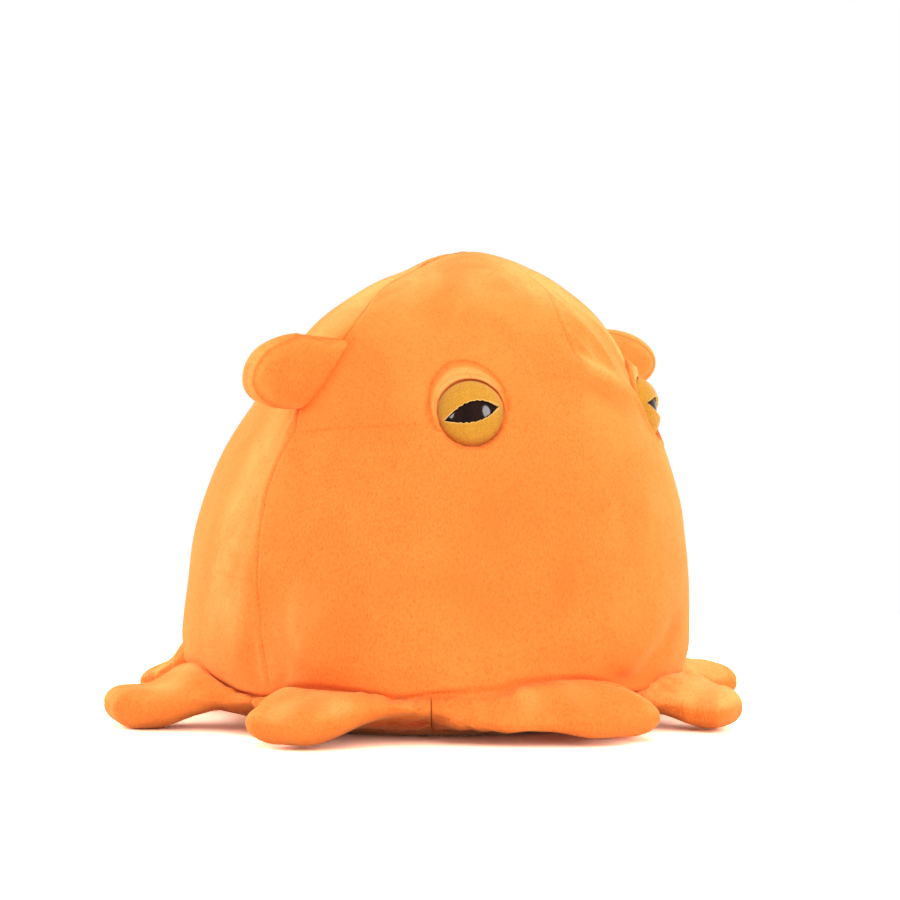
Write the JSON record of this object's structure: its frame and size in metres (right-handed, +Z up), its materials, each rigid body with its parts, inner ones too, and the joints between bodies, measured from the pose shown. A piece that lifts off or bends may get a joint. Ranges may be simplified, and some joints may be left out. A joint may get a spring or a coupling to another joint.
{
  "type": "plush octopus toy",
  "caption": "Stuffed plush octopus with a domed body, two side fins, half-closed felt-lidded eyes and a ring of short sewn arms, sitting on its flat base.",
  "frame": {"origin": "middle of the flat base, on the floor under the middle of the body", "axes": "+Z up, -Y towards the toy's face, +X towards the toy's left fin"},
  "size_m": [0.2353, 0.2347, 0.1767],
  "materials": {
    "plush": "short orange plush pile",
    "lid_felt": "ochre felt",
    "eye_plastic": "glossy near-black",
    "washer_plastic": "matte off-white"
  },
  "bodies": {
    "root": {"body": "plush", "arm_left_1": "plush", "arm_left_2": "plush", "arm_left_3": "plush", "arm_left_4": "plush", "arm_right_1": "plush", "arm_right_2": "plush", "arm_right_3": "plush", "arm_right_4": "plush", "ear_left": "plush", "ear_right": "plush", "eye_hood_left": "plush", "eye_hood_right": "plush", "upper_lid_left": "lid_felt", "upper_lid_right": "lid_felt", "lower_lid_left": "lid_felt", "lower_lid_right": "lid_felt", "eye_left": "eye_plastic", "eye_right": "eye_plastic", "eye_washer_left": "washer_plastic", "eye_washer_right": "washer_plastic"}
  },
  "joints": []
}
